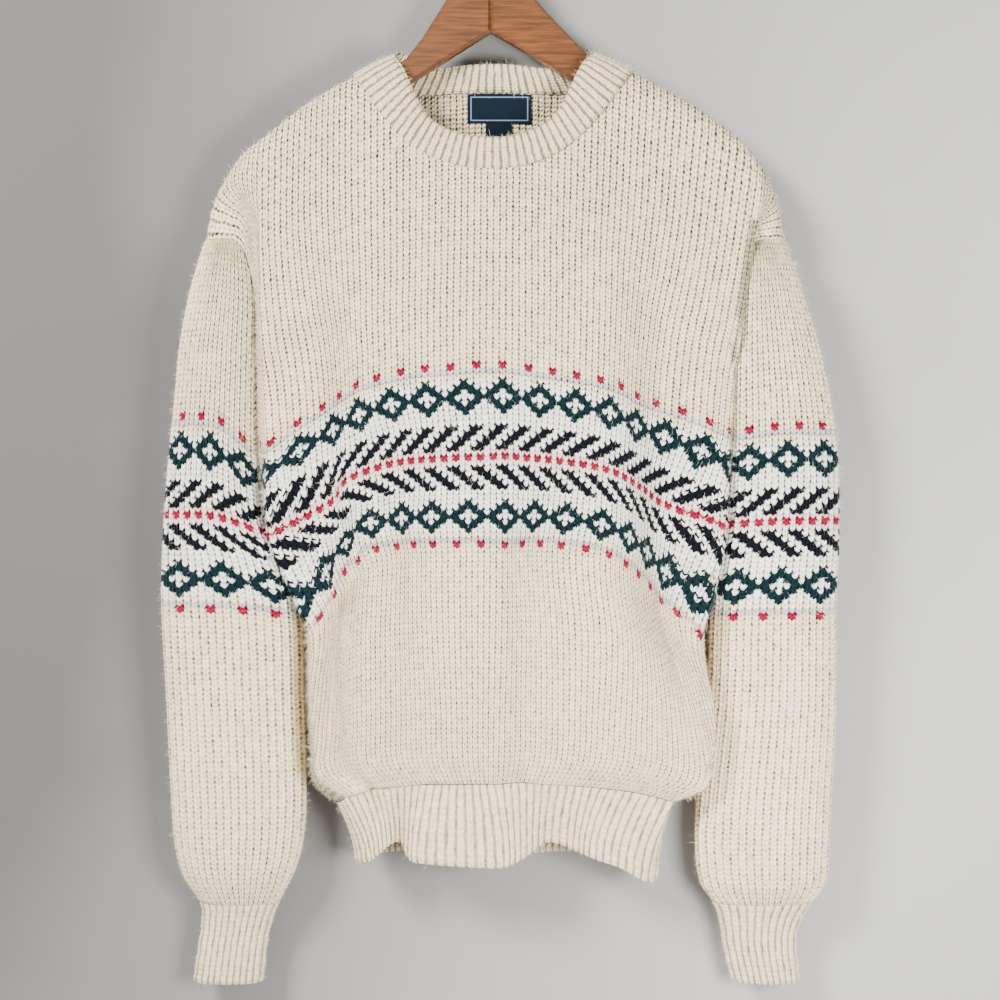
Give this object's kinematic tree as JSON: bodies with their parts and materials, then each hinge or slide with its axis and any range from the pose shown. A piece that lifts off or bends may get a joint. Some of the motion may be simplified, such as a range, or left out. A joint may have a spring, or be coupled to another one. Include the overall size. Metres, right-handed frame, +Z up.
{
  "type": "fair isle jumper on a wooden hanger",
  "caption": "Fair isle jumper in chunky cream wool with a dark geometric band across the chest and sleeves, ribbed edges, hanging on a wooden hanger",
  "frame": {"origin": "inside top of the hanger's hook, where the rail bears", "axes": "+X to the right as seen from the front, -Y out of the front of the jumper, +Z up"},
  "size_m": [0.5786, 0.0707, 0.9532],
  "materials": {
    "wool": "matte",
    "rib_wool": "matte",
    "label": "satin",
    "wood": "varnished",
    "wire": "polished"
  },
  "bodies": {
    "root": {"front": "wool", "back": "wool", "sleeve_left": "wool", "sleeve_right": "wool", "cuff_left": "rib_wool", "cuff_right": "rib_wool", "hem_rib_front": "rib_wool", "hem_rib_back": "rib_wool", "neckband": "rib_wool", "neck_label": "label", "size_tab": "label", "hanger_arm_left": "wood", "hanger_arm_right": "wood", "hook": "wire"}
  },
  "joints": []
}
